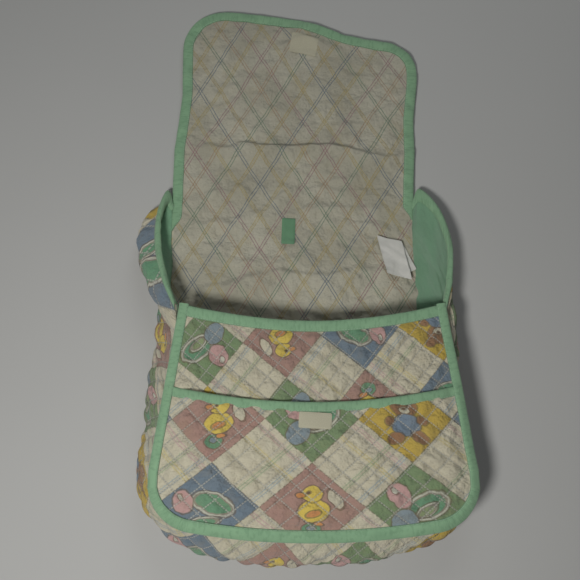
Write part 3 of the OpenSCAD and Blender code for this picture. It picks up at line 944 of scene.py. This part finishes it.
wall_places = np.linspace(MOUTH_RIGHT + WALL_GAP, MOUTH_LEFT - WALL_GAP, 380)
wall_rises = np.linspace(0, 1, 27)
wall_grid, wall_along = wall_surface(wall_places, wall_rises)
wall_normal = grid_normals(wall_grid, BACK.outward(wall_places)[None])
wall_uv = np.stack(np.meshgrid((WALL_SQUARE_AT - wall_along) * 2 * HALF_SQUARE / WALL_SPACING,
                               WALL_CLOTH * (wall_rises - WALL_PRINT_AT)), -1)
wall_ends = ease((np.minimum(wall_places - MOUTH_RIGHT, MOUTH_LEFT - wall_places) - MOUTH_TAPE) / 0.04)
wall_arch = (np.sin(np.pi * wall_rises) ** 0.35)[:, None]
wall_relief = WALL_PUFF * (puff(wall_uv) - 0.35) * wall_ends[None] * wall_arch
wall_outer = wall_grid + wall_normal * (WALL_T / 2 + wall_relief)[..., None]
wall_inner = wall_grid - wall_normal * WALL_INSIDE
wall_quilt = shell("Wall_Quilt", wall_outer, wall_inner, wall_uv * MM, PRINT)
wall_lining = shell("Wall_Lining", wall_inner, wall_grid - wall_normal * WALL_LINED, wall_uv * MM, GREEN)


# ---- the front and its pocket

POCKET_INSET = TAPE_W + 0.2
POCKET_LAP = 3.5      # the pocket's cloth runs on this far under the front's binding
POCKET_SLUMP = 2.6    # how far the empty pocket sinks onto the front
PRESSED = 0.3         # the share of its thickness that the pocket keeps where it is sewn down
SEWN_GAP = 0.4        # between the front and the pocket there
POCKET_MOUTH = FRONT.side_place(POCKET_DROP)
POCKET_SQUARE, FRONT_SQUARE = (6, -161), (-22, -84)    # the middle of one printed square on each
front_edge = FRONT.at(np.linspace(0, 5, 300))
front_mouth = dip_edge(0, 0, 0, 120)
pocket_seam = FRONT.at(np.linspace(POCKET_MOUTH, 5 - POCKET_MOUTH, 300), POCKET_INSET)
pocket_mouth = dip_edge(POCKET_DROP, 0, POCKET_INSET, 120)


def pocket_uv(xy):
    """The print on the pocket, in millimetres of cloth: the pattern spreads towards the bottom."""
    x, y = xy[..., 0] - POCKET_SQUARE[0], xy[..., 1]
    spacing = 78 - 0.131 * (y + 85)
    return np.stack([x * 2 * HALF_SQUARE / spacing, (y - POCKET_SQUARE[1]) * HALF_SQUARE / 40], -1)


def front_uv(xy):
    """The print on the front itself, which is the same cloth turned half round."""
    x, y, tilt = xy[..., 0] - FRONT_SQUARE[0], xy[..., 1] - FRONT_SQUARE[1], math.radians(6)
    along, across = x * math.cos(tilt) + y * math.sin(tilt), y * math.cos(tilt) - x * math.sin(tilt)
    return -np.stack([along, across], -1) * HALF_SQUARE / 38 - [2 * HALF_SQUARE, 0]


def front_faces(xy):
    sag = front_sag(xy)
    return FRONT_TOP + sag, FRONT_Z + sag


def pocket_faces(xy):
    """The pocket lies on the front at its seam, pressed flat, and stands off it at its open edge."""
    away = distance(xy, pocket_seam)
    rise = ease(away / 34)
    slack = 1.2 * noise(xy[..., 0], xy[..., 1], 48, 15)
    bottom = mix(FRONT_TOP + SEWN_GAP, POCKET_Z - POCKET_SLUMP, rise) + front_sag(xy) * 0.9 + slack * rise
    return bottom + (POCKET_TOP - POCKET_Z) * (PRESSED + 0.7 * ease(away / 14)), bottom


def off_patch(xy):
    """0 under the closure patch on the pocket, which presses the quilting flat, and 1 away from it."""
    low, high = node_box("hook_patch")
    beyond = np.maximum(np.maximum(low[:2] - xy, xy - high[:2]), 0)
    return ease(np.hypot(beyond[..., 0], beyond[..., 1]) / 5)


def panel_grid(inset, drop, columns, rows):
    """The front or the pocket: drop is how far its top edge's ends lie below the front's top corners."""
    left, right, bottom = tub_sides(FRONT, inset, rows, columns, FRONT.side_place(drop + LIP))
    top = dip_edge(drop, LIP, inset, columns)
    top[0], top[-1] = left[-1], right[-1]
    return coons(left, right, bottom, top)


def padded_panel(name, inset, drop, rows, lining_rows, height, fade_of, uv_of, faces):
    """The padded print and the lining of the front or the pocket."""
    grid = panel_grid(inset, drop, 138, rows)
    uv, (top, bottom) = uv_of(grid), faces(grid)
    relief = print_relief(grid, uv, fade_of(grid), height)
    quilt = shell(name + "_Quilt", with_z(grid, top + relief), with_z(grid, bottom + LINING_T), uv * MM,
                  PRINT)
    grid = panel_grid(inset, drop, 70, lining_rows)
    bottom = faces(grid)[1]
    lining = shell(name + "_Lining", with_z(grid, bottom + LINING_T), with_z(grid, bottom), grid * MM,
                   PLAID_CLOTH)
    return quilt, lining


front_quilt, front_lining = padded_panel(
    "Front", LIP, 0, 100, 50, FRONT_PUFF,
    lambda grid: edge_fade(grid, TAPE_W + 1, 7, front_edge, front_mouth), front_uv, front_faces)
pocket_quilt, pocket_lining = padded_panel(
    "Pocket", POCKET_INSET - POCKET_LAP, POCKET_DROP, 78, 40, POCKET_PUFF,
    lambda grid: edge_fade(grid, 3, 9, pocket_seam, pocket_mouth) * off_patch(grid), pocket_uv, pocket_faces)

# ---- binding tapes

# Below the wall's ends the tape's inner part is covered by the lining, which runs out to the wall's seam.
BACK_TAPE_W = 2.6
back_places = np.linspace(0.12, 4.86, 420)
back_tape = flat_tape("Back_Binding", BACK.at(back_places), BACK.at(back_places, BACK_TAPE_W), lying, 31,
                      BACK_TAPE_W, moved=stray)

DIVE_LEFT, DIVE_RIGHT = 38.0, 50.0    # the heights where the flap's binding goes into the wall's seam
crown_tapes = []
for side, base, tip, dive, split in (("Right", base_right, tip_right, DIVE_RIGHT, SPLIT_RIGHT),
                                     ("Left", base_left, tip_left, DIVE_LEFT, SPLIT_LEFT)):
    heights = np.linspace(dive, split, 44)
    widths = FLAP_TAPE_W * (0.25 + 0.75 * ease((heights - dive) / 16))    # it narrows into the seam
    outer, inner = [np.array([flap_side(base, tip, y, inset) for y, inset in zip(heights, insets)])
                    for insets in (0 * widths, widths)]
    crown_tapes.append(flat_tape("Crown_Binding_" + side, outer, inner, lying, 32, moved=stray))

outer, inner = (flap_line(inset, SPLIT_RIGHT, SPLIT_LEFT) for inset in (0, FLAP_TAPE_W))
flap_tape = flat_tape("Flap_Binding", outer, inner, lying, 33, moved=stray)

OVER_POCKET = SEWN_GAP + PRESSED * (POCKET_TOP - POCKET_Z) + 0.3    # how high the binding climbs over it
front_places = np.linspace(0, 5, 400)
# This binding shows narrower along the sides.
front_tape_width = FRONT_TAPE_W * (0.82 + 0.18 * ease((1.6 - np.abs(front_places - 2.5)) / 1.1))
from_pocket_mouth = np.minimum(front_places, 5 - front_places) - POCKET_MOUTH


def front_skins(s):
    """The front's two faces under its binding, which climbs over the pocket's edge."""
    inset = s * front_tape_width
    xy = mix(FRONT.at(front_places), FRONT.at(front_places, FRONT_TAPE_W), inset[:, None] / FRONT_TAPE_W)
    over_pocket = OVER_POCKET * ease((inset - 3) / 3.5) * ease((from_pocket_mouth + 0.03) / 0.05)
    top, bottom = front_faces(xy)
    return with_z(xy, top + over_pocket), with_z(xy, bottom)


front_tape = tape("Front_Binding", front_skins, line_length(FRONT.at(front_places)), 34, FRONT_TAPE_W)


def edge_tape(name, drop, trim, faces, seed, width):
    outer, inner = (dip_edge(drop, inset, trim, 150) for inset in (0, width))
    return flat_tape(name, outer, inner, faces, seed, width)


front_top_tape = edge_tape("Front_Top_Binding", 0, 4, front_faces, 35, FRONT_TOP_TAPE_W)
pocket_top_tape = edge_tape("Pocket_Top_Binding", POCKET_DROP, POCKET_INSET - 5, pocket_faces, 36, TAPE_W)


def mouth_tape(name, mouth, inwards, seed):
    rises = np.linspace(0, 1, 110)

    def skins(s):
        places = mouth + inwards * MOUTH_TAPE * (s + np.array([0, 0.02, 0.04]))
        grid, _ = wall_surface(places, rises)
        normal = grid_normals(grid, BACK.outward(places)[None])
        return grid[:, 1] + normal[:, 1] * WALL_T / 2, grid[:, 1] - normal[:, 1] * WALL_T / 2

    return tape(name, skins, line_length(skins(0)[0]), seed)


mouth_tapes = [mouth_tape("Mouth_Binding_Right", MOUTH_RIGHT, 1, 37),
               mouth_tape("Mouth_Binding_Left", MOUTH_LEFT, -1, 38)]


# ---- patches, tab and labels

def node_middle(node):
    low, high = node_box(node)
    return (low[:2] + high[:2]) / 2


def small_sheet(name, shift, size, turn, faces, thick, material, round_r=1.5, bulge=0.3,
                curl=lambda u, v: 0, moved=lambda xy: xy, skew=0.0):
    """A small piece of tape or ribbon on a cloth's upper face. It lies over its CAD node, moved by shift."""
    half = np.array(size) / 2
    u, v = np.meshgrid(np.linspace(-1, 1, 26), np.linspace(-1, 1, 20))
    local = np.stack([u, v], -1) * half
    over = np.maximum(np.abs(local) - (half - round_r), 0)
    beyond = np.maximum(np.hypot(over[..., 0], over[..., 1]), round_r)
    shrink = np.where(over.min(-1) > 0, beyond / round_r, 1)
    local = np.sign(local) * (np.minimum(np.abs(local), half - round_r) + over / shrink[..., None])
    c, n = math.cos(math.radians(turn)), math.sin(math.radians(turn))
    x, y = local[..., 0], local[..., 1] - skew * local[..., 0]
    xy = node_middle(name.lower()) + shift + np.stack([x * c - y * n, x * n + y * c], -1)
    rim = np.minimum(half[0] - np.abs(local[..., 0]), half[1] - np.abs(local[..., 1]))
    z = faces(xy)[0] + curl(u, v)
    top = z + thick + bulge * ease(rim / 2.5)
    xy = moved(xy)
    return shell(name, with_z(xy, top), with_z(xy, z), local * MM, material, smooth_angle=60)


LABEL_TURN = 12
end_turn = math.degrees(math.atan2(*(tip_right - tip_left)[::-1]))
loop_at = node_middle("loop_patch")
hook = small_sheet("Hook_Patch", 0, (31, 15), -3, pocket_faces, 1.2, CLOSURE)
loop = small_sheet("Loop_Patch", loop_at - stray(loop_at), (30, 22), end_turn, lying, 1.0, CLOSURE,
                   moved=stray)
tab = small_sheet("Lining_Tab", 0, (14, 28), -2, lying, 1.2, TAB_CLOTH, round_r=1.0, bulge=0.5,
                  curl=lambda u, v: 0.4 * (1 - v) ** 2)
care = small_sheet("Care_Label", 0, (24, 43), LABEL_TURN, lying, 0.3, RIBBON_CLOTH, round_r=0.6, bulge=0,
                   curl=lambda u, v: 3.2 + 2.2 * ease((1 - v) / 2) + 0.9 * u * u, skew=0.5)
size_leaf = small_sheet("Size_Label", [4.5, 0], (19, 34), LABEL_TURN + 14, lying, 0.3, RIBBON_CLOTH,
                        round_r=0.6, bulge=0, curl=lambda u, v: 1.4 + 0.9 * ease((1 - v) / 2))

# ---- what moves with what

for piece in (back_tape, tab):
    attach(piece, "root")
for piece in (front_quilt, front_lining, front_tape, front_top_tape, pocket_quilt, pocket_lining,
              pocket_top_tape, hook):
    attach(piece, "front")
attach(loop, "flap")
for piece in (care, size_leaf):
    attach(piece, "labels")
FOLD_REACH, SECOND_REACH = 10, 8    # a reach on each side of the flap's two folds; the loops below only work it out and bake each piece in place
for piece in (back_quilt, back_lining, *crown_tapes):
    (FOLD_Y - FOLD_REACH) * MM
    (FOLD_Y + FOLD_REACH) * MM
    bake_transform(piece)
for piece in (flap_quilt, flap_lining, flap_tape):
    (SECOND_FOLD_Y - SECOND_REACH) * MM
    (SECOND_FOLD_Y + SECOND_REACH) * MM
    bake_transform(piece)
for piece in (wall_quilt, wall_lining, *mouth_tapes):
    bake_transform(piece)

# ---- floor, light and camera

def stage_object(name, data, place=(0, 0, 0), target=None):
    """Puts a floor, lamp or camera in the scene, pointed at the target."""
    made = bpy.data.objects.new(name, data)
    made.location = place
    if target is not None:
        made.rotation_euler = (Vector(target) - Vector(place)).to_track_quat("-Z", "Y").to_euler()
    bpy.context.scene.collection.objects.link(made)
    return made


def area_light(name, place, target, size, watts, colour):
    light = bpy.data.lights.new(name, "AREA")
    light.shape, light.size, light.energy, light.color = "DISK", size, watts, colour
    stage_object(name, light, place, target)


FLOOR_REACH, FLOOR_LEVEL = 4.0, -0.0005
floor_corners = [(x * FLOOR_REACH, y * FLOOR_REACH, FLOOR_LEVEL)
                 for x, y in ((-1, -1), (1, -1), (1, 1), (-1, 1))]
floor_mesh = bpy.data.meshes.new("Floor")
floor_mesh.from_pydata(floor_corners, [], [(0, 1, 2, 3)])
floor_mesh.materials.append(FLOOR)
stage_object("Floor", floor_mesh)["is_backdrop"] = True

area_light("KeyLight", (-0.27, -0.44, 0.82), (0, -0.1, 0), 0.2, 4.5, (1.0, 0.99, 0.97))
area_light("FillLight", (0.2, 0.95, 0.9), (0, 0, 0), 0.8, 2.6, (0.95, 0.98, 1.0))
world = bpy.data.worlds.new("Studio")
world.use_nodes = True
sky_colour, sky_strength = world.node_tree.nodes["Background"].inputs[:2]
sky_colour.default_value, sky_strength.default_value = (0.96, 0.98, 1.0, 1), 0.06
bpy.context.scene.world = world
bpy.context.scene.view_settings.view_transform = "Standard"

CAMERA_AT, LOOKS_AT, LENS = (-0.0145, -0.1913, 0.7825), (-0.0145, -0.025, 0.0), 47.3
camera = bpy.data.cameras.new("Camera")
camera.lens, camera.sensor_width = LENS, 36
bpy.context.scene.camera = stage_object("Camera", camera, CAMERA_AT, LOOKS_AT)

({"cad": [list(corner) for corner in cad_box],
           "visual": [list(corner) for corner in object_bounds()]})
